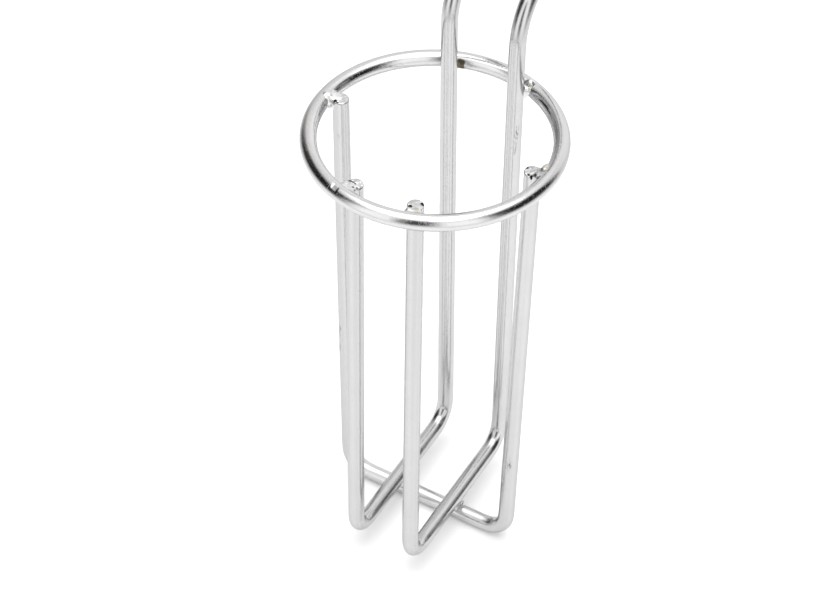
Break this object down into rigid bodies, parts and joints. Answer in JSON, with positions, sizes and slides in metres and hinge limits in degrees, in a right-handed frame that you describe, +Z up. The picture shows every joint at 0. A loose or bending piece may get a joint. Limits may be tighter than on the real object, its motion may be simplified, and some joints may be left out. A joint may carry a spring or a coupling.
{
  "type": "wire valet stand",
  "caption": "Welded chrome wire stand: U-bent rods cross under a round ring collar to make an open cage, and the rear rods arch over backwards as hooks.",
  "frame": {"origin": "under the middle of the ring, on the underside of the cross rod, where the stand meets the floor", "axes": "+Z up along the ring's axis, +Y backwards to the hooks, +X along the cross rod to the right seen from the front"},
  "size_m": [0.1474, 0.1957, 0.3571],
  "materials": {
    "ring_chrome": "bright polished plating with faint drawn lines",
    "rod_chrome": "bright plating with fine lengthwise drawn lines",
    "weld_metal": "lumpy plated weld beads, duller than the rods"
  },
  "bodies": {
    "root": {"ring_collar": "ring_chrome", "ring_joint_weld": "weld_metal", "left_long_rod": "rod_chrome", "right_long_rod": "rod_chrome", "cross_rod": "rod_chrome", "weld_front_left_prong": "weld_metal", "weld_front_right_prong": "weld_metal", "weld_rear_left_upright": "weld_metal", "weld_rear_right_upright": "weld_metal", "weld_left_prong": "weld_metal", "weld_right_prong": "weld_metal", "weld_base_left": "weld_metal", "weld_base_right": "weld_metal"}
  },
  "joints": []
}
